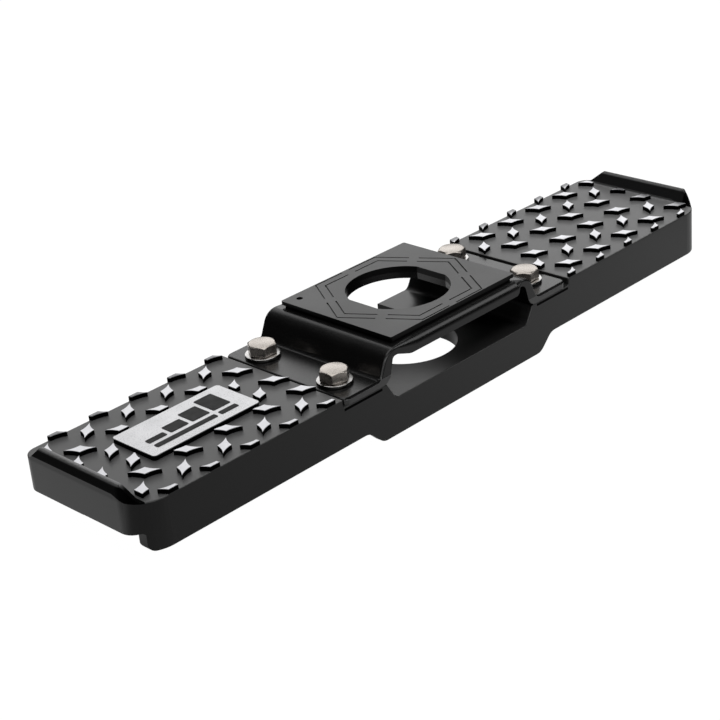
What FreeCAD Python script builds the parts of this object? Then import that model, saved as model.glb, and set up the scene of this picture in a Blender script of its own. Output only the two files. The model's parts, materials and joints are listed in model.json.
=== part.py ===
import FreeCAD, Part
import math
import os

from FreeCAD import Vector

# Clamp-on hitch step. The long way of the step is X, the hitch tongue runs along Y and Z is up.
# The origin is in the middle of the step, on the level of its lowest edge. All sizes are in mm.

# Overall step body
LENGTH = 563.2
WIDTH = 114.3
DECK_Z = 45.0             # walking surface above the lowest edge
WALL = 4.5                # skirt walls and top skin
FRONT_CORNER = 21.0       # plan corners, rounder in front than behind
BACK_CORNER = 10.0
WING_BOTTOM_Z = 11.6      # lower edge of the skirt along the two wings
END_BOTTOM_Z = 21.4       # lower edge of the two short end walls, which rises inwards
END_INNER_Z = 24.8
FRONT_SKIRT_X = 275.2     # the deeper skirt along the wings ends here
BACK_SKIRT_X = 268.0
BELLY_X = 81.5            # the full-depth middle of the skirt
BELLY_SLOPE_X = 93.6      # its slope meets the wing's lower edge here
EDGE_ROUND = 0.8

# Raised lip across each end
LIP_HEIGHT = 11.0
LIP_FOOT_X = 274.8
LIP_CREST_X = 279.2
LIP_INNER_ROUND = 0.25
LIP_OUTER_ROUND = 2.1
LIP_FLAT_Y = (-40.0, 35.0)
LIP_END_Y = (-50.0, 48.5)  # the lip has run down to the deck here

# Middle of the body: seats for the bracket, and the trough for the tongue
SEAT_X = 114.8
SEAT_Z = 39.4
TROUGH_TOP_X = 74.5
TROUGH_X = 66.8
TROUGH_Z = 26.5
SLOT_RADIUS = 35.3        # U-shaped slot for the ball's shank and nut, open to the back
SLOT_CENTRE_Y = -4.9
SLOT_WALL = 5.0
SLOT_WALL_BOTTOM_Z = 15.0

# Ribs under the deck
RIB = 3.0
RIB_BOTTOM_Z = 15.0
WING_RIB_Y = 27.0
WING_CROSS_RIBS = 5
BELLY_RIB_BOTTOM_Z = 3.0
BELLY_RIB_X = 56.0

# Clamp bracket: one hat-shaped piece over the trough
FLANGE_END_X = 113.2
FLANGE_TOP_Z = 44.2
FLANGE_CORNER = 6.0
LEG_FOOT_OUT_X = 80.0
LEG_FOOT_IN_X = 71.7
LEG_HEAD_OUT_X = 72.1
LEG_HEAD_IN_X = 66.9
PLATFORM_TOP_Z = 62.0
PLATFORM_UNDER_Z = 57.4
BRACKET_EDGE_ROUND = 1.8
PLATFORM_ROUND = 6.0      # the platform's front and back edges are rounder than the rest
PLATFORM_ROUND_X = (-44.0, 60.0)
PLATFORM_PLAIN_X = (-64.0, 64.0)  # the larger round has tapered off here

# Turned-down rim on the front and back edges of the platform
RIM_BOTTOM_Z = 51.9
RIM_THICKNESS = 5.0
RIM_LEFT_X = 50.0         # slopes up towards the left leg
RIM_LEFT_END_X = 62.5
RIM_LEFT_END_Z = 56.4
RIM_RIGHT_X = 60.9        # ends bluntly before the right leg
RIM_RIGHT_END_X = 61.9
BALL_HOLE_RADIUS = 36.5
BALL_HOLE_FLAT_X = 34.0

# Pad on the bracket
PAD_X = 62.0
PAD_Y = 51.7
PAD_TOP_Z = 66.6
PAD_STEP_Z = 63.8         # the lower band of the pad's edge is set in
PAD_STEP = 1.7
GROOVE_DEPTH = 0.8
GROOVE_WIDTH = 1.2
GROOVE_GAP = 7.0
HEX_RADII = (51.0, 58.0)
HEX_STRETCH = 1.03        # the groove hexagons are a little longer along X
PEG_X = 51.7
PEG_Y = 43.8
PEG_RADIUS = 3.0
CORE_RADIUS = 2.3         # the back left peg is cored out from above
CORE_DEPTH = 2.0

# M12 fasteners
BOLTS = {                 # place, and how far the head is turned, in degrees
    "front_left": (-98.0, -33.5, 38),
    "back_left": (-98.0, 34.6, 57),
    "front_right": (95.0, -33.5, 5),
    "back_right": (95.0, 35.4, 20),
}
BOLT_RADIUS = 5.95
CLEAR_RADIUS = 6.75
NUT_BORE_RADIUS = 6.0
HEX_FLATS = 18.0
HEAD_HEIGHT = 7.5
WASHER_RADIUS = 12.2
WASHER_BORE_RADIUS = 6.5
WASHER_THICKNESS = 2.5
BOSS_RADIUS = 11.0
BOSS_BOTTOM_Z = 29.0
NUT_PLATE_THICKNESS = 4.0
NUT_PLATE_LENGTH = 94.0
NUT_PLATE_WIDTH = 33.0
NUT_HEIGHT = 10.8
BOLT_END_Z = 12.6

# Tread
DIAMOND_LENGTH = 20.5
DIAMOND_WIDTH = 8.8
DIAMOND_HOLLOW = 1.1      # how far each side of a diamond curves in
DIAMOND_HEIGHT = 2.8
CAP_THICKNESS = 0.5
ALONG = -40               # directions of the two kinds of diamond, in degrees
ACROSS = 43
TREAD_START_X = 115.4
TREAD_END_X = 271.5
ROOT_DEPTH = 1.0          # how far raised shapes are sunk into the deck they stand on

# Rows of diamonds: y, distance of the first from the middle, how many, direction
RIGHT_PITCH = 33.5
RIGHT_ROWS = (
    (-58.0, 119.5, 5, ACROSS),
    (-43.5, 132.5, 5, ALONG),
    (-27.3, 118.5, 5, ACROSS),
    (-11.2, 133.3, 5, ALONG),
    (11.8, 138.5, 5, ALONG),
    (26.8, 121.5, 5, ACROSS),
    (43.0, 138.0, 5, ALONG),
    (56.4, 120.6, 5, ACROSS),
)
LEFT_PITCH = 32.6
LEFT_ROWS = (
    (-58.0, 124.5, 5, ALONG),
    (-44.0, 138.0, 5, ACROSS),
    (-28.0, 122.3, 5, ALONG),
    (-11.0, 143.5, 1, ACROSS),
    (11.0, 146.0, 1, ACROSS),
    (-3.0, 123.5, 1, ALONG),
    (-10.8, 247.6, 1, ACROSS),
    (9.0, 248.2, 1, ACROSS),
    (-10.0, 272.0, 1, ACROSS),
    (13.0, 272.0, 1, ACROSS),
    (26.3, 128.6, 5, ALONG),
    (42.0, 143.3, 5, ACROSS),
    (58.0, 127.0, 5, ALONG),
)

# Badge on the left wing
BADGE_X = (-238.5, -151.0)
BADGE_Y = (-20.0, 21.0)
BADGE_CORNER = 2.5
BADGE_MARGIN = 3.5
BADGE_BASE_HEIGHT = 2.7
BADGE_THICKNESS = 0.8
EMBLEM_THICKNESS = 0.2

HALF_L = LENGTH / 2
HALF_W = WIDTH / 2
LOW = -10.0               # safely below the whole step
HIGH = 90.0               # safely above it


def rounded_outline(corners, to_point):
    """Closed wire through (u, v, radius) corners, each rounded by its own radius."""
    edges = []
    ends = []
    count = len(corners)
    for i, (u, v, radius) in enumerate(corners):
        here = Vector(u, v, 0)
        back = Vector(*corners[i - 1][:2], 0) - here
        ahead = Vector(*corners[(i + 1) % count][:2], 0) - here
        if radius == 0:
            ends.append((here, here))
            continue
        back.normalize()
        ahead.normalize()
        half_angle = back.getAngle(ahead) / 2
        reach = radius / math.tan(half_angle)
        bisector = back + ahead
        bisector.normalize()
        start = here + back * reach
        end = here + ahead * reach
        middle = here + bisector * (radius / math.sin(half_angle) - radius)
        edges.append((i, Part.Arc(to_point(start), to_point(middle), to_point(end)).toShape()))
        ends.append((start, end))
    for i in range(count):
        leave = ends[i][1]
        arrive = ends[(i + 1) % count][0]
        edges.append((i + 0.5, Part.LineSegment(to_point(leave), to_point(arrive)).toShape()))
    edges.sort(key=lambda item: item[0])
    return Part.Wire([edge for _, edge in edges])


def along_y(corners, y0, y1):
    """Solid with the given X-Z section between two Y places."""
    wire = rounded_outline(corners, lambda p: Vector(p.x, y0, p.y))
    return Part.Face(wire).extrude(Vector(0, y1 - y0, 0))


def along_x(corners, x0, x1):
    """Solid with the given Y-Z section between two X places."""
    wire = rounded_outline(corners, lambda p: Vector(x0, p.x, p.y))
    return Part.Face(wire).extrude(Vector(x1 - x0, 0, 0))


def upright(corners, z0, z1):
    """Solid with the given X-Y outline between two heights."""
    wire = rounded_outline(corners, lambda p: Vector(p.x, p.y, z0))
    return Part.Face(wire).extrude(Vector(0, 0, z1 - z0))


def box(x0, x1, y0, y1, z0, z1):
    return Part.makeBox(x1 - x0, y1 - y0, z1 - z0, Vector(x0, y0, z0))


def rectangle(x0, x1, y0, y1, corner=0.0):
    return [(x0, y0, corner), (x1, y0, corner), (x1, y1, corner), (x0, y1, corner)]


def mirrored(right_half):
    """Section corners for X > 0, followed by their mirror images."""
    return right_half + [(-x, z, radius) for x, z, radius in reversed(right_half)]


def cylinder(radius, x, y, z0, z1):
    return Part.makeCylinder(radius, z1 - z0, Vector(x, y, z0))


def hexagon(flats, x, y, turn, z0, z1):
    """Hexagonal bar with one of its corners turned by that many degrees from the X axis."""
    corner = flats / math.sqrt(3)
    points = []
    for i in range(6):
        angle = math.radians(60 * i + turn)
        points.append((x + corner * math.cos(angle), y + corner * math.sin(angle), 0))
    return upright(points, z0, z1)


def plan_prism(inset, z0, z1):
    """The step's plan with its round corners, drawn in by inset on all sides."""
    x = HALF_L - inset
    y = HALF_W - inset
    front = FRONT_CORNER - inset
    back = BACK_CORNER - inset
    return upright([(-x, -y, front), (x, -y, front), (x, y, back), (-x, y, back)], z0, z1)


def bolt_places():
    return [(x, y) for x, y, _ in BOLTS.values()]


def slot_prism(radius, z0, z1):
    """U shape in plan: a half circle in front, straight sides to the back edge."""
    round_end = cylinder(radius, 0, SLOT_CENTRE_Y, z0, z1)
    return round_end.fuse(box(-radius, radius, SLOT_CENTRE_Y, HALF_W + 1, z0, z1))


def ball_hole(z0, z1):
    """Round hole with a flat on each side, which lets the hitch ball through."""
    disc = cylinder(BALL_HOLE_RADIUS, 0, 0, z0, z1)
    return disc.common(box(-BALL_HOLE_FLAT_X, BALL_HOLE_FLAT_X, -HALF_W, HALF_W, z0, z1))


def side_view(skirt_x):
    """Outline of the body seen from the front; the deeper skirt ends at skirt_x."""
    return mirrored([
        (BELLY_X, 0.0, 10.0),
        (BELLY_SLOPE_X, WING_BOTTOM_Z, 10.0),
        (skirt_x, WING_BOTTOM_Z, 4.0),
        (skirt_x, END_INNER_Z, 1.5),
        (HALF_L + 1, END_BOTTOM_Z, 0.0),
        (HALF_L + 1, DECK_Z, 0.0),
        (SEAT_X, DECK_Z, 0.6),
        (SEAT_X, SEAT_Z, 0.6),
        (TROUGH_TOP_X, SEAT_Z, 2.5),
        (TROUGH_X, TROUGH_Z, 5.0),
    ])


def body_shell():
    """Skirted shell: the plan and the side view together, hollow from below."""
    inside = mirrored([
        (HALF_L, LOW, 0.0),
        (HALF_L, DECK_Z - WALL, 0.0),
        (SEAT_X - WALL, DECK_Z - WALL, 2.0),
        (SEAT_X - WALL, SEAT_Z - WALL, 2.0),
        (TROUGH_TOP_X + WALL, SEAT_Z - WALL, 2.0),
        (TROUGH_X + WALL, TROUGH_Z - WALL, 2.0),
    ])
    outside = along_y(side_view(FRONT_SKIRT_X), -HALF_W, 0)
    outside = outside.fuse(along_y(side_view(BACK_SKIRT_X), 0, HALF_W)).removeSplitter()
    solid = rounded_deck_edge(outside.common(plan_prism(0, LOW, HIGH)))
    cavity = plan_prism(WALL, LOW, HIGH).common(along_y(inside, -HALF_W, HALF_W))
    return solid.cut(cavity)


def rounded_deck_edge(solid):
    """Small round along the outer edge of the two treads."""
    edges = []
    for edge in solid.Edges:
        bounds = edge.BoundBox
        level = abs(bounds.ZMin - DECK_Z) < 0.01 and abs(bounds.ZMax - DECK_Z) < 0.01
        across_seat = bounds.XLength < 0.01 and abs(bounds.XMin) < SEAT_X + 1
        if level and not across_seat:
            edges.append(edge)
    return solid.makeFillet(EDGE_ROUND, edges)


def body_ribs():
    """Ribs under both wings and beside the slot, and bosses round the bolt holes."""
    ribs = []
    half = RIB / 2
    wing_top = DECK_Z - WALL + 1
    cross_pitch = (BACK_SKIRT_X - SEAT_X) / (WING_CROSS_RIBS + 1)
    for side in (-1, 1):
        wing = sorted((side * SEAT_X, side * (HALF_L - WALL + 1)))
        for y in (-WING_RIB_Y, 0, WING_RIB_Y):
            ribs.append(box(*wing, y - half, y + half, END_INNER_Z + 1, wing_top))
        for i in range(WING_CROSS_RIBS + 1):
            x = side * (SEAT_X + half + i * cross_pitch)
            ribs.append(box(x - half, x + half, -HALF_W + 1, HALF_W - 1, RIB_BOTTOM_Z, wing_top))
        x = side * BELLY_RIB_X
        belly_top = TROUGH_Z - 1
        ribs.append(box(x - half, x + half, -HALF_W + 1, HALF_W - 1, BELLY_RIB_BOTTOM_Z, belly_top))
        x = side * (TROUGH_TOP_X + half)
        ribs.append(box(x - half, x + half, -HALF_W + 1, HALF_W - 1, BELLY_RIB_BOTTOM_Z, SEAT_Z - 1))
    for x, y in bolt_places():
        ribs.append(cylinder(BOSS_RADIUS, x, y, BOSS_BOTTOM_Z, SEAT_Z - 1))
        span = sorted((math.copysign(TROUGH_TOP_X, x), math.copysign(SEAT_X, x)))
        ribs.append(box(*span, y - half, y + half, BOSS_BOTTOM_Z, SEAT_Z - 1))
    ribs.append(slot_prism(SLOT_RADIUS + SLOT_WALL, SLOT_WALL_BOTTOM_Z, TROUGH_Z - 1))
    solid = ribs[0].multiFuse(ribs[1:])
    return solid.common(plan_prism(1, LOW, HIGH))


def end_lip(side):
    """Raised lip across one end, running down to the deck near the corners."""
    crest_z = DECK_Z + LIP_HEIGHT
    root = DECK_Z - ROOT_DEPTH
    foot_z = DECK_Z + 0.05
    section = [
        (side * (LIP_FOOT_X - 0.4), root, 0.0),
        (side * (LIP_FOOT_X - 0.4), foot_z, 0.0),
        (side * LIP_FOOT_X, foot_z, 2.0),
        (side * LIP_CREST_X, crest_z, LIP_INNER_ROUND),
        (side * HALF_L, crest_z, LIP_OUTER_ROUND),
        (side * HALF_L, root, 0.0),
    ]
    front_end, back_end = LIP_END_Y
    front_flat, back_flat = LIP_FLAT_Y
    trim = [
        (front_end - 1, root, 0.0),
        (back_end + 1, root, 0.0),
        (back_end, DECK_Z, 0.0),
        (back_flat, crest_z + 0.1, 5.0),
        (front_flat, crest_z + 0.1, 5.0),
        (front_end, DECK_Z, 0.0),
    ]
    lip = along_y(section, -HALF_W, HALF_W)
    lip = lip.common(along_x(trim, -HALF_L - 1, HALF_L + 1))
    return lip.common(plan_prism(0, LOW, HIGH))


def diamond(x, y, direction, z0, z1):
    """Raised lozenge whose four sides curve in."""
    tips = []
    for i, reach in enumerate((DIAMOND_LENGTH, DIAMOND_WIDTH, DIAMOND_LENGTH, DIAMOND_WIDTH)):
        angle = math.radians(direction + 90 * i)
        tips.append(Vector(x + reach / 2 * math.cos(angle), y + reach / 2 * math.sin(angle), z0))
    centre = Vector(x, y, z0)
    edges = []
    for i in range(4):
        start = tips[i]
        end = tips[(i + 1) % 4]
        middle = (start + end) * 0.5
        inward = centre - middle
        inward.normalize()
        edges.append(Part.Arc(start, middle + inward * DIAMOND_HOLLOW, end).toShape())
    return Part.Face(Part.Wire(edges)).extrude(Vector(0, 0, z1 - z0))


def badge_prism(margin, corner, z0, z1):
    outline = rectangle(
        BADGE_X[0] - margin, BADGE_X[1] + margin, BADGE_Y[0] - margin, BADGE_Y[1] + margin, corner
    )
    return upright(outline, z0, z1)


def tread_diamonds(side, z0, z1):
    """The diamonds of one wing, trimmed to the tread and kept clear of the badge."""
    rows, pitch = (RIGHT_ROWS, RIGHT_PITCH) if side > 0 else (LEFT_ROWS, LEFT_PITCH)
    tread = plan_prism(0, z0, z1)
    x_range = sorted((side * TREAD_START_X, side * TREAD_END_X))
    tread = tread.common(box(*x_range, -HALF_W, HALF_W, z0, z1))
    if side < 0:
        tread = tread.cut(badge_prism(BADGE_MARGIN, BADGE_CORNER, z0, z1))
    smallest = 0.12 * diamond(0, 0, 0, z0, z1).Volume
    kept = []
    for y, first_x, count, direction in rows:
        for i in range(count):
            x = side * (first_x + i * pitch)
            piece = diamond(x, y, direction, z0, z1).common(tread)
            kept += [solid for solid in piece.Solids if solid.Volume > smallest]
    return kept


def step_body():
    """One moulding: shell, ribs, lips, badge base and the roots of all diamonds."""
    solid = body_shell().fuse(body_ribs())
    solid = solid.cut(slot_prism(SLOT_RADIUS, LOW, TROUGH_Z + 1))
    for x, y in bolt_places():
        solid = solid.cut(cylinder(CLEAR_RADIUS, x, y, LOW, HIGH))
    raised = [end_lip(-1), end_lip(1)]
    low = DECK_Z - ROOT_DEPTH
    raised.append(badge_prism(0, BADGE_CORNER, low, DECK_Z + BADGE_BASE_HEIGHT))
    for side in (-1, 1):
        raised += tread_diamonds(side, low, DECK_Z + DIAMOND_HEIGHT)
    return solid.multiFuse(raised).removeSplitter()


def tread_caps(side):
    """Bright caps bonded on top of one wing's diamonds."""
    top = DECK_Z + DIAMOND_HEIGHT
    return Part.makeCompound(tread_diamonds(side, top, top + CAP_THICKNESS))


def badge_plate():
    base = DECK_Z + BADGE_BASE_HEIGHT
    return badge_prism(0, BADGE_CORNER, base, base + BADGE_THICKNESS)


def badge_emblem():
    """Plain sign on the badge: four stairs over two bars."""
    z0 = DECK_Z + BADGE_BASE_HEIGHT + BADGE_THICKNESS
    z1 = z0 + EMBLEM_THICKNESS
    left = BADGE_X[0] + 9
    low = BADGE_Y[0] + 15
    pieces = []
    for i in range(4):
        x = left + 17.5 * i
        pieces.append(upright(rectangle(x, x + 14.5, low, low + 5 * (i + 1), 1.0), z0, z1))
    pieces.append(upright(rectangle(left, left + 49.5, low - 8, low - 3.5, 1.0), z0, z1))
    pieces.append(upright(rectangle(left + 52.5, left + 67, low - 8, low - 3.5, 1.0), z0, z1))
    return Part.makeCompound(pieces)


def hat_section(under_left, under_right):
    """Bracket section with the given corners under the two halves of the platform."""
    outer = [
        (LEG_FOOT_IN_X, SEAT_Z, 8.0),
        (FLANGE_END_X, SEAT_Z, 0.6),
        (FLANGE_END_X, FLANGE_TOP_Z, 0.0),
        (LEG_FOOT_OUT_X, FLANGE_TOP_Z, 4.0),
        (LEG_HEAD_OUT_X, PLATFORM_TOP_Z, 12.0),
    ]
    left = under_left + outer
    return under_right + outer + [(-x, z, radius) for x, z, radius in reversed(left)]


def rounded_outer_edges(hat):
    """Round the outer edges of the bracket all the way round."""
    edges = []
    for edge in hat.Edges:
        bounds = edge.BoundBox
        middle = edge.valueAt((edge.FirstParameter + edge.LastParameter) / 2)
        on_face = bounds.YLength < 0.01 and abs(abs(bounds.YMin) - HALF_W) < 0.01
        above_flange = middle.z > FLANGE_TOP_Z - 0.01
        outer = abs(middle.x) > LEG_HEAD_OUT_X - 1 or middle.z > PLATFORM_TOP_Z - 0.01
        on_bend = middle.z > PLATFORM_UNDER_Z and abs(middle.x) > LEG_HEAD_IN_X - 1
        level = bounds.ZLength < 0.01 and abs(bounds.ZMin - FLANGE_TOP_Z) < 0.01
        at_flange_end = level and abs(middle.x) > FLANGE_END_X - FLANGE_CORNER
        if at_flange_end or (on_face and above_flange and (outer or on_bend)):
            edges.append(edge)
    return hat.makeFillet(BRACKET_EDGE_ROUND, edges)


def edge_sliver(x0, radius0, x1, radius1):
    """What a round along the platform's front edge takes away, between two places."""
    top = PLATFORM_TOP_Z
    wires = []
    for x, radius in ((x0, radius0), (x1, radius1)):
        part_way = radius * (1 - math.sqrt(0.5))
        low = Vector(x, -HALF_W, top - radius)
        middle = Vector(x, -HALF_W + part_way, top - part_way)
        back = Vector(x, -HALF_W + radius, top)
        corners = [
            back,
            Vector(x, -HALF_W + radius, top + 1),
            Vector(x, -HALF_W - 1, top + 1),
            Vector(x, -HALF_W - 1, top - radius),
            low,
        ]
        edges = [Part.Arc(low, middle, back).toShape()]
        for start, end in zip(corners, corners[1:]):
            edges.append(Part.LineSegment(start, end).toShape())
        wires.append(Part.Wire(edges))
    return Part.makeLoft(wires, True, True)


def round_platform_edges(hat):
    """Larger round on the platform's front and back edges, tapering off at both ends."""
    plain = BRACKET_EDGE_ROUND - 0.3
    left, right = PLATFORM_ROUND_X
    far_left, far_right = PLATFORM_PLAIN_X
    slivers = [
        edge_sliver(far_left, plain, left, PLATFORM_ROUND),
        edge_sliver(left, PLATFORM_ROUND, right, PLATFORM_ROUND),
        edge_sliver(right, PLATFORM_ROUND, far_right, plain),
    ]
    for sliver in slivers:
        hat = hat.cut(sliver)
        hat = hat.cut(sliver.mirror(Vector(0, 0, 0), Vector(0, 1, 0)))
    return hat


def clamp_bracket():
    """Hat-shaped clamp: flanges on the seats, leaning legs and a holed platform."""
    plain_half = [(LEG_HEAD_IN_X, PLATFORM_UNDER_Z, 5.0)]
    hat = along_y(hat_section(plain_half, plain_half), -HALF_W, HALF_W)
    rimmed_left = [
        (RIM_LEFT_X, RIM_BOTTOM_Z, 14.0),
        (RIM_LEFT_END_X, RIM_LEFT_END_Z, 2.0),
        (LEG_HEAD_IN_X, RIM_LEFT_END_Z, 3.0),
    ]
    rimmed_right = [
        (RIM_RIGHT_X, RIM_BOTTOM_Z, 4.0),
        (RIM_RIGHT_END_X, PLATFORM_UNDER_Z, 0.8),
    ]
    rimmed = hat_section(rimmed_left, rimmed_right + plain_half)
    for side in (-1, 1):
        span = sorted((side * HALF_W, side * (HALF_W - RIM_THICKNESS)))
        hat = hat.fuse(along_y(rimmed, *span))
    outline = rectangle(-FLANGE_END_X, FLANGE_END_X, -HALF_W, HALF_W, FLANGE_CORNER)
    hat = hat.common(upright(outline, LOW, HIGH))
    hat = rounded_outer_edges(hat.removeSplitter())
    hat = round_platform_edges(hat)
    hat = hat.cut(ball_hole(LOW, HIGH))
    for x, y in bolt_places():
        hat = hat.cut(cylinder(CLEAR_RADIUS, x, y, LOW, HIGH))
    for x, y in peg_places():
        hat = hat.cut(cylinder(PEG_RADIUS + 0.2, x, y, PLATFORM_UNDER_Z - 1, HIGH))
    return hat.removeSplitter()


def peg_places():
    return [(x, y) for x in (-PEG_X, PEG_X) for y in (-PEG_Y, PEG_Y)]


def hex_points(radius):
    points = []
    for i in range(6):
        angle = math.radians(60 * i)
        points.append((HEX_STRETCH * radius * math.cos(angle), radius * math.sin(angle), 0))
    return points


def hex_groove(radius):
    """Ring groove in hexagon form, with a bridge left in the middle of each side."""
    z0 = PAD_TOP_Z - GROOVE_DEPTH
    ring = upright(hex_points(radius + GROOVE_WIDTH / 2), z0, HIGH)
    ring = ring.cut(upright(hex_points(radius - GROOVE_WIDTH / 2), z0, HIGH))
    for i in range(6):
        bridge = box(0, radius + 10, -GROOVE_GAP / 2, GROOVE_GAP / 2, z0, HIGH)
        bridge.rotate(Vector(0, 0, 0), Vector(0, 0, 1), 60 * i + 30)
        ring = ring.cut(bridge)
    return ring


def bracket_pad():
    """Cushion on the platform, held by four pegs that reach through it."""
    slab = upright(rectangle(-PAD_X, PAD_X, -PAD_Y, PAD_Y, 1.2), PAD_STEP_Z, PAD_TOP_Z)
    lower = rectangle(-PAD_X + PAD_STEP, PAD_X - PAD_STEP, -PAD_Y + PAD_STEP, PAD_Y - PAD_STEP, 1.0)
    pad = slab.fuse(upright(lower, PLATFORM_TOP_Z, PAD_STEP_Z))
    pad = pad.cut(ball_hole(LOW, HIGH))
    for radius in HEX_RADII:
        pad = pad.cut(hex_groove(radius))
    pad = pad.cut(cylinder(CORE_RADIUS, -PEG_X, PEG_Y, PAD_TOP_Z - CORE_DEPTH, HIGH))
    for x, y in peg_places():
        pad = pad.fuse(cylinder(PEG_RADIUS, x, y, PLATFORM_UNDER_Z - 2.8, PLATFORM_TOP_Z + 1))
    return pad.removeSplitter()


def pad_push_nuts():
    """Thin push-on washers that grip the pad's pegs under the platform."""
    nuts = []
    for x, y in peg_places():
        disc = cylinder(6.0, x, y, PLATFORM_UNDER_Z - 1.0, PLATFORM_UNDER_Z)
        nuts.append(disc.cut(cylinder(PEG_RADIUS, x, y, LOW, HIGH)))
    return Part.makeCompound(nuts)


def hex_bolt(x, y, turn):
    """Hexagon bolt with a chamfered head and a plain tip."""
    seat = FLANGE_TOP_Z + WASHER_THICKNESS
    top = seat + HEAD_HEIGHT
    head = hexagon(HEX_FLATS, x, y, turn, seat, top)
    crown_depth = 3 * HEAD_HEIGHT
    crown_top = 0.48 * HEX_FLATS
    crown_foot = crown_top + crown_depth * math.tan(math.radians(60))
    crown = Part.makeCone(crown_foot, crown_top, crown_depth, Vector(x, y, top - crown_depth))
    shank = cylinder(BOLT_RADIUS, x, y, BOLT_END_Z, seat + 1)
    return head.common(crown).fuse(shank).removeSplitter()


def flat_washer(x, y):
    z0 = FLANGE_TOP_Z
    disc = cylinder(WASHER_RADIUS, x, y, z0, z0 + WASHER_THICKNESS)
    return disc.cut(cylinder(WASHER_BORE_RADIUS, x, y, LOW, HIGH))


def lock_nut(x, y):
    top = BOSS_BOTTOM_Z - NUT_PLATE_THICKNESS
    nut = hexagon(HEX_FLATS, x, y, 0, top - NUT_HEIGHT, top)
    return nut.cut(cylinder(NUT_BORE_RADIUS, x, y, LOW, HIGH))


def nut_plate(side):
    """Steel strap that spreads the pull of two nuts over the bosses."""
    places = [(x, y) for x, y in bolt_places() if x * side > 0]
    middle_x = places[0][0]
    half_width = NUT_PLATE_WIDTH / 2
    half_length = NUT_PLATE_LENGTH / 2
    outline = rectangle(
        middle_x - half_width, middle_x + half_width, -half_length, half_length, 3.0
    )
    plate = upright(outline, BOSS_BOTTOM_Z - NUT_PLATE_THICKNESS, BOSS_BOTTOM_Z)
    for x, y in places:
        plate = plate.cut(cylinder(CLEAR_RADIUS, x, y, LOW, HIGH))
    return plate


def all_parts():
    parts = {
        "step_body": step_body(),
        "left_tread_caps": tread_caps(-1),
        "right_tread_caps": tread_caps(1),
        "badge_plate": badge_plate(),
        "badge_emblem": badge_emblem(),
        "clamp_bracket": clamp_bracket(),
        "bracket_pad": bracket_pad(),
        "pad_push_nuts": pad_push_nuts(),
        "left_nut_plate": nut_plate(-1),
        "right_nut_plate": nut_plate(1),
    }
    for place, (x, y, turn) in BOLTS.items():
        parts[place + "_bolt"] = hex_bolt(x, y, turn)
        parts[place + "_washer"] = flat_washer(x, y)
        parts[place + "_nut"] = lock_nut(x, y)
    return parts


os.makedirs("parts", exist_ok=True)
for node, shape in all_parts().items():
    print(node, "solids", len(shape.Solids), "valid", shape.isValid(), "cm3", round(shape.Volume / 1000, 2))
    shape.exportStep("parts/" + node + ".step")
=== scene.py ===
import json
import math

import bpy
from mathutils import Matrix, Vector

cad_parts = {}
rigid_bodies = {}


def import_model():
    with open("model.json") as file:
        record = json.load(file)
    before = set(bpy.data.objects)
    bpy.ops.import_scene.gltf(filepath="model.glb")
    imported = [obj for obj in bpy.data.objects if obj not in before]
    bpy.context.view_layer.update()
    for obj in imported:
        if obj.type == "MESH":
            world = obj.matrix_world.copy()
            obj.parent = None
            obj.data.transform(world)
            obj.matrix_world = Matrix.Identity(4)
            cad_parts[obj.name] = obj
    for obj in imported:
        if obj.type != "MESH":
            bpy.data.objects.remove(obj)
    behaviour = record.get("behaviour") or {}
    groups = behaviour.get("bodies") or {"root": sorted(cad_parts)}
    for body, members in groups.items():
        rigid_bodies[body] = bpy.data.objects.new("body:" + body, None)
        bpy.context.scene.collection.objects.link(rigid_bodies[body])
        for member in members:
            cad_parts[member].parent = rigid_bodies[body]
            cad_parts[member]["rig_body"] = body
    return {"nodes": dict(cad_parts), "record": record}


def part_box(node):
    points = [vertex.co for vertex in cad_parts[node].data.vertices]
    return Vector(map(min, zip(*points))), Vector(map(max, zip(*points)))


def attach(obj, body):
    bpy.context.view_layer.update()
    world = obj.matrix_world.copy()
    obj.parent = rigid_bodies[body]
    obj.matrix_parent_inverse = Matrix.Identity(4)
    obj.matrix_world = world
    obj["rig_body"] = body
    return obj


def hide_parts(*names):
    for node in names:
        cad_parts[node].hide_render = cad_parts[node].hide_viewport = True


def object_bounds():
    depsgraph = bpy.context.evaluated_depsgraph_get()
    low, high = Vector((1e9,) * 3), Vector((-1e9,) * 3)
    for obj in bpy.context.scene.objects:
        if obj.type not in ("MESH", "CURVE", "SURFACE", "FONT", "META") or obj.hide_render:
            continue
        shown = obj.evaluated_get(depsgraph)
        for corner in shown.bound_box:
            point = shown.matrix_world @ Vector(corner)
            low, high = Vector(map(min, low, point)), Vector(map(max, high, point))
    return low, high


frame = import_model()

# The look of a clamp-on hitch step. Metres, in the frame of the CAD part: X is the long way and
# Z is up. The main view is from the -X, -Y side.

MM = 0.001
CORNERS = ("front_left", "back_left", "front_right", "back_right")
cad_low, cad_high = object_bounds()

# Places on the CAD part
DIAMOND_HEIGHT = 2.8 * MM
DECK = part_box("left_tread_caps")[0].z - DIAMOND_HEIGHT
FLANGE_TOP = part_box("front_left_washer")[0].z
LIP_X = 273.5 * MM                  # the end lips lie further out
LIP_FRONT_Y = (-43 * MM, -39 * MM)  # and run down to the deck in front of this
LIP_CREST = (8.6 * MM, 9.8 * MM)    # their crests begin this high above the deck
TROUGH_X = 73 * MM
FLANGE_X = (79 * MM, 114 * MM)
FLANGE_SHADOW_LINE = (6.6 * MM, 8.4 * MM)         # painted shadow line under the flanges, below the deck's height
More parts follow.
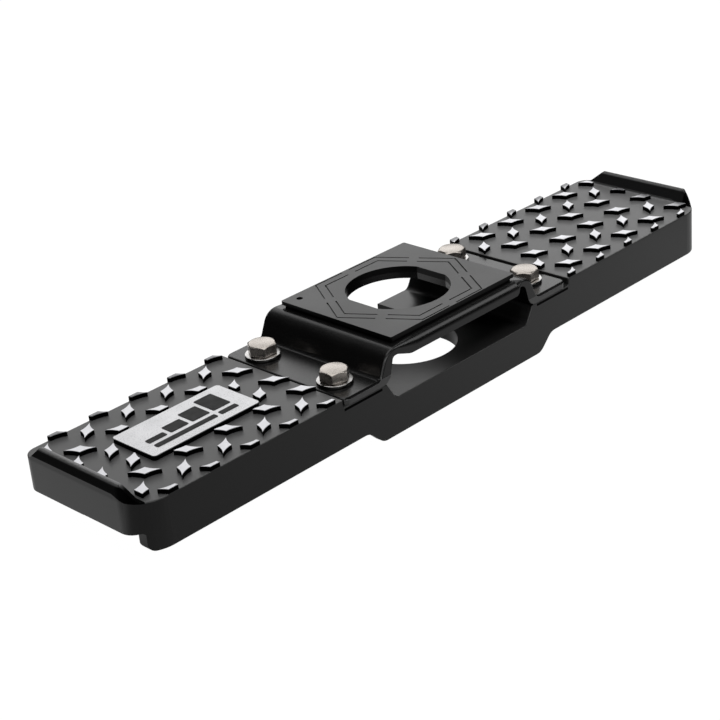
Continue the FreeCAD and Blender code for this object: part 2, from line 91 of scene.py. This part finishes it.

# M12 fasteners; the thread is cut inside the plain shank of the CAD bolt
PITCH = 1.75 * MM
THREAD_DEPTH = 0.9 * MM
PLAIN_SHANK = 9 * MM
SHANK_RADIUS = 5.9 * MM
HEAD_HALF_FLATS = 9 * MM
WASHER_BORE = 6.5 * MM
NUT_BORE = 6.0 * MM
COLLAR = 3.0 * MM         # round end of the nut that holds its nylon ring
CONE_SHARE = 0.95         # radius of a hexagon's flat end, as a share of half its width
CONE_SLOPE = math.tan(math.radians(30))
SOFT = 0.12 * MM          # how far a hexagon's edges are broken
AROUND = 48               # points in every ring; the hexagon's corners fall on points


# ---------------------------------------------------------------- finishes

class Finish:
    """A node material in the making. Inputs are set by name, from numbers or from sockets."""

    def __init__(self, name):
        self.material = bpy.data.materials.new(name)
        self.material.use_nodes = True
        self.tree = self.material.node_tree
        self.tree.nodes.clear()
        self.surface = self.node("ShaderNodeBsdfPrincipled")
        output = self.node("ShaderNodeOutputMaterial")
        self.tree.links.new(self.surface.outputs["BSDF"], output.inputs["Surface"])
        self.place = self.node("ShaderNodeTexCoord").outputs["Object"]

    def feed(self, socket, value):
        if isinstance(value, bpy.types.NodeSocket):
            self.tree.links.new(value, socket)
        else:
            socket.default_value = value

    def node(self, kind, **inputs):
        made = self.tree.nodes.new(kind)
        for name, value in inputs.items():
            self.feed(made.inputs[name.replace("_", " ")], value)
        return made

    def set(self, **inputs):
        for name, value in inputs.items():
            self.feed(self.surface.inputs[name.replace("_", " ")], value)

    def noise(self, scale, detail=3.0, stretch=(1, 1, 1)):
        """Noise between 0 and 1, with about that many features to a metre."""
        mapped = self.node("ShaderNodeMapping", Vector=self.place, Scale=stretch)
        return self.node(
            "ShaderNodeTexNoise", Vector=mapped.outputs[0], Scale=scale, Detail=detail
        ).outputs["Fac"]

    def span(self, value, from_low, from_high, low, high):
        """Value mapped from one span to another, and kept inside it."""
        return self.node(
            "ShaderNodeMapRange", Value=value, From_Min=from_low, From_Max=from_high,
            To_Min=low, To_Max=high,
        ).outputs[0]

    def vary(self, noise, low, high):
        return self.span(noise, 0.3, 0.7, low, high)

    def math(self, operation, a, b=0.0):
        made = self.tree.nodes.new("ShaderNodeMath")
        made.operation = operation
        self.feed(made.inputs[0], a)
        self.feed(made.inputs[1], b)
        return made.outputs[0]

    def product(self, first, *others):
        for other in others:
            first = self.math("MULTIPLY", first, other)
        return first

    def rest(self, share):
        return self.math("SUBTRACT", 1.0, share)

    def over(self, value, limit):
        """1 where the value is above the limit, 0 elsewhere."""
        return self.math("GREATER_THAN", value, limit)

    def under(self, value, limit):
        return self.math("LESS_THAN", value, limit)

    def between(self, value, low, high):
        return self.product(self.over(value, low), self.under(value, high))

    def mix(self, share, a, b):
        """Colour a where share is 0, b where it is 1."""
        made = self.tree.nodes.new("ShaderNodeMix")
        made.data_type = "RGBA"
        sockets = [s for s in made.inputs if s.type == "RGBA"]
        self.feed(made.inputs["Factor"], share)
        self.feed(sockets[0], a)
        self.feed(sockets[1], b)
        return [s for s in made.outputs if s.type == "RGBA"][0]

    def blend(self, share, a, b):
        """Number a where share is 0, b where it is 1."""
        return self.math("ADD", self.product(self.rest(share), a), self.product(share, b))

    def axis(self, name):
        return self.node("ShaderNodeSeparateXYZ", Vector=self.place).outputs[name]

    def away(self, name):
        """Distance from the middle of the step along an axis."""
        return self.math("ABSOLUTE", self.axis(name))

    def facing(self, axis):
        """How far the surface faces along an axis, from -1 to 1."""
        normal = self.node("ShaderNodeNewGeometry").outputs["Normal"]
        return self.node("ShaderNodeSeparateXYZ", Vector=normal).outputs[axis]

    def facing_up(self):
        """0 on walls, 1 on level faces that look up."""
        return self.span(self.facing("Z"), 0.25, 0.75, 0.0, 1.0)

    def bump(self, height, strength, distance):
        made = self.node("ShaderNodeBump", Height=height, Strength=strength, Distance=distance)
        self.set(Normal=made.outputs[0])


def grey(level):
    return (level, level, level, 1)


def at_lips(f):
    return f.over(f.away("X"), LIP_X)


def lip_fronts(f):
    """1 on the front ends of the two lips, where they run down to the deck."""
    return f.product(at_lips(f), f.span(f.axis("Y"), *LIP_FRONT_Y, 1.0, 0.0))


def lip_crests(f):
    """1 along the tops of the two lips, short of their front ends."""
    low, high = LIP_CREST
    top = f.span(f.axis("Z"), DECK + low, DECK + high, 0.0, 1.0)
    return f.product(at_lips(f), top, f.rest(lip_fronts(f)))


def raised_sides(f):
    """1 on the sides of all that stands on the deck, and on the lips' front ends. On a lip's
    outer side it begins above the deck, and a little below it near the front corner."""
    lip_foot = f.span(f.axis("Y"), -42 * MM, -32 * MM, DECK - 1.2 * MM, DECK + 2.2 * MM)
    foot = f.blend(at_lips(f), DECK + 0.2 * MM, lip_foot)
    sides = f.product(f.rest(f.facing_up()), f.rest(lip_crests(f)))
    return f.product(f.over(f.axis("Z"), foot), f.math("MAXIMUM", sides, lip_fronts(f)))


def trough_walls(f):
    """Most of the way to 1 on the walls in the trough, behind its front edge, where painted shade
    goes.
    """
    behind = f.span(f.axis("Y"), cad_low.y + 6 * MM, cad_low.y + 10 * MM, 0.0, 0.7)
    return f.product(f.under(f.away("X"), TROUGH_X), behind, f.rest(f.facing_up()))


def flange_shadow_line(f):
    """1 on the painted shadow line that runs along the skirt, close below the bracket's flanges.
    """
    near, far = FLANGE_SHADOW_LINE
    outer = f.over(f.away("Y"), cad_high.y - 2 * MM)
    below = f.between(f.axis("Z"), DECK - far, DECK - near)
    return f.product(outer, f.between(f.away("X"), *FLANGE_X), below)


def body_plastic():
    """Satin black moulding with a fine grain, duller on the treads. Painted light makes the
    treads' level faces lighter, most so on the right. The steep sides of raised shapes and the
    trough's inside are painted black as painted shade; the crests of the two lips are painted
    lighter as a painted highlight."""
    f = Finish("body_plastic")
    clouds = f.noise(9)
    # Painted shade: the trough's walls and the line under the flanges.
    painted_recess_shade = f.math("MAXIMUM", trough_walls(f), flange_shadow_line(f))
    black = f.math("MAXIMUM", raised_sides(f), painted_recess_shade)
    on_deck = f.span(f.axis("Z"), DECK - 2 * MM, DECK - 0.5 * MM, 0.0, 1.0)
    moulded = f.mix(f.vary(clouds, 0, 1), grey(0.010), grey(0.014))
    # Painted light: tread faces that look up are lighter, and lighter still towards the right.
    painted_light_to_right = f.span(f.axis("X"), cad_low.x, cad_high.x, 0.0, 1.0)
    tread = f.mix(painted_light_to_right, grey(0.034), grey(0.078))
    tread = f.mix(f.vary(clouds, 0.0, 0.1), tread, grey(0.1))
    colour = f.mix(f.product(on_deck, f.facing_up()), moulded, tread)
    # Painted highlight along the crests of the two lips.
    colour = f.mix(lip_crests(f), colour, grey(0.13))
    # Painted shade: steep sides of raised shapes, lip fronts, trough walls and the flange line go
    # near-black.
    f.set(Base_Color=f.mix(black, colour, grey(0.001)))
    f.set(Roughness=f.blend(on_deck, f.vary(clouds, 0.28, 0.34), f.vary(clouds, 0.42, 0.47)))
    # The painted shade also loses almost all its sheen.
    f.set(Specular_IOR_Level=f.blend(black, 0.5, 0.01))
    f.bump(f.noise(1400, 2), 0.16, 0.05 * MM)
    return f.material


def pad_plastic():
    """Satin black cushion; its walls are painted darker and with less sheen, as painted shade."""
    f = Finish("pad_plastic")
    clouds = f.noise(16)
    up = f.facing_up()
    colour = f.mix(f.vary(clouds, 0, 1), grey(0.006), grey(0.010))
    # Painted shade: faces that don't look up get a darker colour here and less sheen below.
    f.set(Base_Color=f.mix(up, grey(0.003), colour))
    f.set(Roughness=f.vary(clouds, 0.30, 0.37), Specular_IOR_Level=f.blend(up, 0.12, 0.41))
    f.bump(f.noise(1100, 2), 0.2, 0.05 * MM)
    return f.material


def bracket_paint():
    """Gloss black powder coat with a faint orange peel. On the flanges' upright front face it is
    painted lighter as a painted highlight, and the edges above and below lose their sheen as
    painted shade."""
    f = Finish("bracket_paint")
    clouds = f.noise(14)
    band = f.product(
        f.under(f.axis("Z"), FLANGE_TOP + 0.5 * MM),
        f.under(f.axis("Y"), cad_low.y + 2.0 * MM),
        f.under(f.facing("Z"), 0.97),
    )
    upright = f.span(f.math("ABSOLUTE", f.facing("Z")), 0.25, 0.45, 1.0, 0.0)
    black = f.mix(f.vary(clouds, 0, 1), grey(0.002), grey(0.004))
    # Painted highlight: the flanges' upright front face is lighter grey.
    f.set(Base_Color=f.mix(f.product(band, upright), black, grey(0.11)))
    f.set(Roughness=f.vary(clouds, 0.22, 0.27))
    # Painted shade: the flanges' front edges above and below lose their sheen.
    f.set(Specular_IOR_Level=f.blend(f.product(band, f.rest(upright)), 0.5, 0.04))
    f.bump(f.noise(420, 2), 0.06, 0.04 * MM)
    return f.material


def metal(name, dark, light, rough, scale=260, stretch=(1, 1, 1), side=1.0, back=1.0):
    """Bare or plated metal: mottled colour and fine marks, drawn out along one way.
    Its sides, and what lies along the step's back edge, take that share of the dark colour, as
    painted shade."""
    f = Finish(name)
    marks = f.noise(scale, 4, stretch)
    clouds = f.noise(90, 3)
    share = f.product(f.math("ADD", marks, clouds), 0.5)
    colour = f.mix(f.vary(share, 0, 1), (*dark, 1), (*light, 1))
    if side < 1.0:
        # Painted shade: faces that don't look up are darker.
        colour = f.mix(f.facing_up(), (*[side * c for c in dark], 1), colour)
    if back < 1.0:
        shaded_back_edge = f.span(f.axis("Y"), cad_high.y - 6 * MM, cad_high.y - 3 * MM, 0.0, 1.0)
        # Painted shade along the step's back edge.
        colour = f.mix(shaded_back_edge, colour, (*[back * c for c in dark], 1))
    f.set(Base_Color=colour, Metallic=1.0)
    f.set(Roughness=f.vary(marks, rough - 0.05, rough + 0.05))
    f.bump(marks, 0.12, 0.03 * MM)
    return f.material


def emblem_ink():
    f = Finish("emblem_ink")
    clouds = f.noise(220)
    f.set(Base_Color=f.mix(f.vary(clouds, 0, 1), grey(0.002), grey(0.006)))
    f.set(Roughness=f.vary(clouds, 0.45, 0.6), Specular_IOR_Level=0.2)
    f.bump(clouds, 0.1, 0.02 * MM)
    return f.material


def nylon():
    f = Finish("nut_insert")
    clouds = f.noise(300)
    f.set(Base_Color=f.mix(f.vary(clouds, 0, 1), (0.10, 0.16, 0.34, 1), (0.13, 0.20, 0.42, 1)))
    f.set(Roughness=f.vary(clouds, 0.45, 0.55))
    f.bump(clouds, 0.1, 0.02 * MM)
    return f.material


def make_finishes():
    return {
        "body_plastic": body_plastic(),
        "pad_plastic": pad_plastic(),
        "bracket_paint": bracket_paint(),
        "emblem_ink": emblem_ink(),
        # Caps, badge and washers get painted shade on their sides; the caps also along the back
        # edge.
        "bright_cap": metal(
            "bright_cap", (0.55, 0.55, 0.57), (0.64, 0.64, 0.66), 0.32, side=0.15, back=0.35
        ),
        "badge_metal": metal(
            "badge_metal", (0.46, 0.46, 0.47), (0.60, 0.60, 0.61), 0.3, 1100, side=0.2
        ),
        "bolt_steel": metal("bolt_steel", (0.36, 0.33, 0.30), (0.54, 0.50, 0.46), 0.28, 420),
        "washer_steel": metal(
            "washer_steel", (0.46, 0.45, 0.44), (0.58, 0.57, 0.56), 0.22, side=0.15
        ),
        "nut_steel": metal("nut_steel", (0.54, 0.52, 0.48), (0.78, 0.76, 0.72), 0.22),
        "plate_steel": metal(
            "plate_steel", (0.30, 0.30, 0.30), (0.46, 0.46, 0.45), 0.3, 90, (1, 12, 1)
        ),
        "spring_steel": metal("spring_steel", (0.36, 0.35, 0.34), (0.56, 0.55, 0.53), 0.25),
    }


# ---------------------------------------------------------------- meshes

def skin(name, rings, loop=False):
    """Surface through rings of equal length. Open ends are capped; loop joins last to first."""
    count = len(rings[0])
    points = [point for ring in rings for point in ring]
    faces = []
    pairs = [(i, i + 1) for i in range(len(rings) - 1)]
    if loop:
        pairs.append((len(rings) - 1, 0))
    else:
        faces.append(tuple(reversed(range(count))))
        faces.append(tuple(range(len(points) - count, len(points))))
    for low, high in pairs:
        for j in range(count):
            k = (j + 1) % count
            faces.append((low * count + j, low * count + k, high * count + k, high * count + j))
    mesh = bpy.data.meshes.new(name)
    mesh.from_pydata(points, [], faces)
    return mesh


def join(name, meshes):
    """One mesh out of several closed ones, smooth except across sharp angles."""
    points, faces = [], []
    for mesh in meshes:
        start = len(points)
        points += [tuple(v.co) for v in mesh.vertices]
        faces += [tuple(start + i for i in p.vertices) for p in mesh.polygons]
    made = bpy.data.meshes.new(name)
    made.from_pydata(points, [], faces)
    made.shade_smooth()
    made.set_sharp_from_angle(angle=math.radians(32))
    return made


def ring(x, y, radius, z, turn=0.0):
    """Ring of points, the first one turned by that angle from the X axis. The radius and z
    are numbers or functions of the angle from the first point."""
    points = []
    for i in range(AROUND):
        angle = 2 * math.pi * i / AROUND
        r = radius(angle) if callable(radius) else radius
        height = z(angle) if callable(z) else z
        points.append((x + r * math.cos(angle + turn), y + r * math.sin(angle + turn), height))
    return points


def hexagon_radius(half_flats):
    """Distance from the axis to the side of a hexagon, with a corner at angle 0."""
    def radius(angle):
        from_middle = (angle % (math.pi / 3)) - math.pi / 6
        return half_flats / math.cos(from_middle)
    return radius


def chamfer_height(half_flats, top):
    """Height of a hexagon's edge where a cone cuts its corners down from the top."""
    side = hexagon_radius(half_flats)
    flat = CONE_SHARE * half_flats

    def height(angle):
        return top - CONE_SLOPE * max(0.0, side(angle) - flat)

    return height


def crown_rings(x, y, turn, half_flats, top):
    """Upper rings of a hexagon with coned-off corners."""
    side = hexagon_radius(half_flats)
    crown = chamfer_height(half_flats, top)
    flat = CONE_SHARE * half_flats
    return [
        ring(x, y, side, lambda a: crown(a) - SOFT, turn),
        ring(x, y, lambda a: side(a) - SOFT, lambda a: crown(a) + 0.3 * SOFT, turn),
        ring(x, y, flat + 0.2 * MM, top - 0.09 * MM, turn),
        ring(x, y, flat - 0.3 * MM, top, turn),
    ]


def foot_rings(x, y, turn, half_flats, low):
    """Lower rings of a hexagon with coned-off corners."""
    side = hexagon_radius(half_flats)
    foot = chamfer_height(half_flats, -low)
    return [
        ring(x, y, CONE_SHARE * half_flats, low, turn),
        ring(x, y, lambda a: side(a) - SOFT, lambda a: -foot(a) - 0.3 * SOFT, turn),
        ring(x, y, side, lambda a: -foot(a) + SOFT, turn),
    ]


def washer_face_rings(x, y, turn, half_flats, face, low):
    """The round face under a bolt's head, and the plain lower edge of its hexagon."""
    side = hexagon_radius(half_flats)
    return [
        ring(x, y, 0.93 * half_flats, face, turn),
        ring(x, y, 0.95 * half_flats, low, turn),
        ring(x, y, lambda a: side(a) - SOFT, low, turn),
        ring(x, y, side, low + SOFT, turn),
    ]


def thread_radius(major, z):
    """Radius of a right-hand thread at height z, as a function of the angle."""
    def radius(angle):
        phase = (z / PITCH - angle / (2 * math.pi)) % 1.0
        groove = max(0.0, 1.0 - abs(phase - 0.5) / 0.42)
        return major - THREAD_DEPTH * min(1.0, groove * 1.15)
    return radius


def head_turn(node, x, y):
    """Angle of one corner of the CAD bolt's head, seen from above."""
    points = [v.co for v in frame["nodes"][node].data.vertices]
    far = max(points, key=lambda p: math.hypot(p.x - x, p.y - y))
    return math.atan2(far.y - y, far.x - x)


def middle_of(node):
    low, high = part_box(node)
    return (low.x + high.x) / 2, (low.y + high.y) / 2


def make_bolt(corner, finish):
    node = corner + "_bolt"
    low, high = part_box(node)
    washer_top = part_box(corner + "_washer")[1].z
    x, y = middle_of(node)
    turn = head_turn(node, x, y)
    foot = washer_top + 0.5 * MM
    head = skin("head", (
        washer_face_rings(x, y, turn, HEAD_HALF_FLATS, washer_top, foot)
        + crown_rings(x, y, turn, HEAD_HALF_FLATS, high.z)
    ))
    rings = [ring(x, y, SHANK_RADIUS - 1.4 * MM, low.z)]
    z = low.z + 0.2 * MM
    thread_top = washer_top - PLAIN_SHANK
    while z < thread_top:
        start = min(1.0, (z - low.z) / (1.2 * MM))
        cut = thread_radius(SHANK_RADIUS, z)
        tip = SHANK_RADIUS - (1 - start) * 1.3 * MM
        rings.append(ring(x, y, lambda a, cut=cut, tip=tip: min(cut(a), tip), z))
        z += PITCH / 8
    for z in (thread_top + 0.6 * MM, washer_top - 0.6 * MM, washer_top + 1 * MM):
        rings.append(ring(x, y, SHANK_RADIUS, z))
    shank = skin("shank", rings)
    stand_in(node, [head, shank], finish)


def make_washer(corner, finish):
    node = corner + "_washer"
    low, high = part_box(node)
    x, y = middle_of(node)
    outer, bore = (high.x - low.x) / 2, WASHER_BORE
    soft = 0.3 * MM
    profile = [
        (bore, low.z + soft), (bore + soft, low.z), (outer - soft, low.z),
        (outer - 0.08 * MM, low.z + 0.12 * MM), (outer, low.z + soft), (outer, high.z - 2 * soft),
        (outer - 0.15 * MM, high.z - 0.7 * soft), (outer - 0.45 * MM, high.z - 0.15 * soft),
        (outer - 0.8 * MM, high.z), (bore + soft, high.z), (bore, high.z - soft),
    ]
    stand_in(node, [skin(node, [ring(x, y, r, z) for r, z in profile], loop=True)], finish)


def make_nut(corner, finish, insert):
    """Lock nut: hexagon below the plate, and a round collar that holds a nylon ring."""
    node = corner + "_nut"
    low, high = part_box(node)
    x, y = middle_of(node)
    bore = NUT_BORE
    side = (high.y - low.y) / 2
    collar_top = low.z + COLLAR
    collar = [
        (bore + 0.9 * MM, low.z + 0.1 * MM), (side - 2.4 * MM, low.z),
        (side - 1.5 * MM, low.z + 0.3 * MM), (side - 1.0 * MM, low.z + 1.0 * MM),
        (side - 0.9 * MM, collar_top - 0.3 * MM),
    ]
    inside = [
        (bore + 0.6 * MM, high.z), (bore, high.z - 0.6 * MM), (bore, collar_top),
        (bore + 0.9 * MM, collar_top),
    ]
    rings = [ring(x, y, r, z) for r, z in collar]
    rings += foot_rings(x, y, 0, side, collar_top)
    rings += crown_rings(x, y, 0, side, high.z)
    rings += [ring(x, y, r, z) for r, z in inside]
    stand_in(node, [skin(node, rings, loop=True)], finish)
    band = [
        (bore + 0.2 * MM, low.z + 0.4 * MM), (bore, low.z + 0.6 * MM),
        (bore, collar_top - 0.1 * MM), (bore + 0.85 * MM, collar_top - 0.1 * MM),
        (bore + 0.85 * MM, low.z + 0.4 * MM),
    ]
    mesh = join(node, [skin(node, [ring(x, y, r, z) for r, z in band], loop=True)])
    add_piece(corner + "_nut_insert", mesh, insert, "step")


def make_push_nuts(finish):
    """Dished spring washers with six teeth that bite the pad's pegs."""
    node = "pad_push_nuts"
    low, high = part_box(node)
    outer = 6 * MM
    dish = 4.6 * MM
    peg = 3.05 * MM
    thin = 0.45 * MM

    def teeth(angle):
        slot = abs((angle % (math.pi / 3)) - math.pi / 6) < math.radians(9)
        return 4.3 * MM if slot else peg

    meshes = []
    for x in (low.x + outer, high.x - outer):
        for y in (low.y + outer, high.y - outer):
            rings = [
                ring(x, y, teeth, low.z), ring(x, y, dish, high.z - thin - 0.1 * MM),
                ring(x, y, outer, high.z - thin), ring(x, y, outer, high.z - 0.05 * MM),
                ring(x, y, dish, high.z - 0.1 * MM), ring(x, y, teeth, low.z + thin),
            ]
            meshes.append(skin(node, rings, loop=True))
    stand_in(node, meshes, finish)


def add_piece(name, mesh, finish, body):
    """Puts a mesh in the scene, on one of the bodies."""
    piece = bpy.data.objects.new(name, mesh)
    bpy.context.scene.collection.objects.link(piece)
    mesh.materials.append(finish)
    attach(piece, body)
    return piece


def stand_in(node, meshes, finish):
    """Adds the piece that is shown in place of a CAD node."""
    body = frame["nodes"][node]["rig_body"]
    piece = add_piece(node + "_look", join(node, meshes), finish, body)
    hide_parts(node)


def round_edges(piece, width):
    """Joins the surface patches, rounds every sharp edge and shades the rest smooth."""
    weld = piece.modifiers.new("weld", "WELD")
    weld.merge_threshold = 0.002 * MM
    bevel = piece.modifiers.new("edges", "BEVEL")
    bevel.width = width
    bevel.segments = 2
    bevel.limit_method = "ANGLE"
    bevel.angle_limit = math.radians(35)
    bevel.use_clamp_overlap = True
    normals = piece.modifiers.new("shading", "WEIGHTED_NORMAL")
    normals.keep_sharp = True


def slot_of(node):
    for part in frame["record"]["subparts"]:
        if part["node"] == node:
            return part["material_slot"]


def finish_cad_nodes(finishes):
    for node, piece in frame["nodes"].items():
        piece.data.materials.clear()
        piece.data.materials.append(finishes[slot_of(node)])


# ---------------------------------------------------------------- stage

def area_light(name, place, target, size, radiance, diffuse=True, glossy=True):
    """Rectangular lamp with the given radiance, facing its target, and out of sight."""
    data = bpy.data.lights.new(name, "AREA")
    data.shape = "RECTANGLE"
    data.size, data.size_y = size
    data.energy = 4 * radiance * size[0] * size[1]
    lamp = bpy.data.objects.new(name, data)
    bpy.context.scene.collection.objects.link(lamp)
    lamp.location = place
    lamp.rotation_euler = (Vector(target) - Vector(place)).to_track_quat("-Z", "Y").to_euler()
    lamp.visible_camera = False
    lamp.visible_diffuse = diffuse
    lamp.visible_glossy = glossy


def make_floor():
    """Pale sweep, evenly white to the eye. Its mirror image in the step is bright close by,
    less so in front on the left, and gives way to the dark room further out."""
    half = 6.0
    z = cad_low.z - 0.2 * MM
    mesh = bpy.data.meshes.new("floor")
    corners = [(-half, -half, z), (half, -half, z), (half, half, z), (-half, half, z)]
    mesh.from_pydata(corners, [], [(0, 1, 2, 3)])
    floor = bpy.data.objects.new("floor", mesh)
    bpy.context.scene.collection.objects.link(floor)
    f = Finish("floor_white")
    x, y = f.axis("X"), f.axis("Y")
    beyond_end = f.math("SUBTRACT", f.away("X"), cad_high.x)
    beyond_side = f.math("SUBTRACT", f.away("Y"), cad_high.y)
    beyond = f.math("MAXIMUM", beyond_end, beyond_side)
    near = f.span(beyond, 100 * MM, 240 * MM, 1.0, 0.04)
    in_front = f.span(y, -35 * MM, -5 * MM, 1.0, 0.0)
    front_level = f.span(x, cad_low.x, cad_high.x, 0.22, 0.56)
    mirrored = f.product(near, f.blend(in_front, 0.68, front_level))
    seen = f.node("ShaderNodeLightPath").outputs["Is Camera Ray"]
    f.set(Base_Color=f.mix(f.vary(f.noise(0.7), 0, 1), grey(0.02), grey(0.03)), Roughness=0.9)
    f.set(Specular_IOR_Level=0.0, Emission_Color=grey(1.0))
    f.set(Emission_Strength=f.blend(seen, mirrored, 1.0))
    mesh.materials.append(f.material)
    floor.visible_diffuse = False


def make_world():
    """White to the eye, nearly dark to everything else."""
    world = bpy.data.worlds.new("studio")
    bpy.context.scene.world = world
    world.use_nodes = True
    nodes, links = world.node_tree.nodes, world.node_tree.links
    background = nodes["Background"]
    background.inputs["Color"].default_value = grey(1.0)
    strength = nodes.new("ShaderNodeMapRange")
    strength.inputs["To Min"].default_value = 0.015
    strength.inputs["To Max"].default_value = 1.0
    path = nodes.new("ShaderNodeLightPath")
    links.new(path.outputs["Is Camera Ray"], strength.inputs["Value"])
    links.new(strength.outputs[0], background.inputs["Strength"])


def make_lights():
    centre = (0, 0, 0.05)
    # Bright backdrop behind the step; level faces mirror it towards the camera.
    area_light("backdrop", (1.47, 1.63, 1.30), centre, (3.6, 1.5), 0.90, diffuse=False)
    area_light("horizon", (1.60, 1.30, 0.86), centre, (3.0, 0.40), 0.72, diffuse=False)
    # Lamp on the right, which draws the bright line along the bracket's front edge.
    area_light("right_lamp", (1.28, -1.08, 1.05), centre, (1.1, 0.8), 1.5)
    # Soft lamp overhead, weaker in mirror images than in what it lights.
    area_light("overhead", (0.0, 0.0, 2.0), centre, (2.4, 2.4), 3.0, glossy=False)
    area_light("overhead_mirrored", (0.0, 0.0, 2.1), centre, (2.4, 2.4), 1.1, diffuse=False)
    # Cards behind the camera, for views from the back.
    area_light("front_card", (-1.6, -1.6, 1.1), centre, (3.2, 1.3), 1.2, diffuse=False)
    area_light("low_card", (-0.3, -2.3, 0.50), centre, (2.6, 0.8), 1.2, diffuse=False)


def make_camera():
    data = bpy.data.cameras.new("camera")
    data.sensor_width = 36
    data.lens = 88.97
    camera = bpy.data.objects.new("camera", data)
    camera.location = (-0.7967, -0.7891, 0.5539)
    camera.rotation_euler = [math.radians(a) for a in (64.183, 4.673, -45.983)]
    bpy.context.scene.collection.objects.link(camera)
    bpy.context.scene.camera = camera


finishes = make_finishes()
insert = nylon()
finish_cad_nodes(finishes)
round_edges(frame["nodes"]["step_body"], 0.35 * MM)
round_edges(frame["nodes"]["clamp_bracket"], 0.8 * MM)
round_edges(frame["nodes"]["bracket_pad"], 0.45 * MM)
for name in ("left_nut_plate", "right_nut_plate"):
    round_edges(frame["nodes"][name], 0.4 * MM)
for name in ("left_tread_caps", "right_tread_caps", "badge_plate"):
    round_edges(frame["nodes"][name], 0.15 * MM)
for corner in CORNERS:
    make_bolt(corner, finishes["bolt_steel"])
    make_washer(corner, finishes["washer_steel"])
    make_nut(corner, finishes["nut_steel"], insert)
make_push_nuts(finishes["spring_steel"])
make_floor()
make_world()
make_lights()
make_camera()
bpy.context.scene.view_settings.view_transform = "Standard"
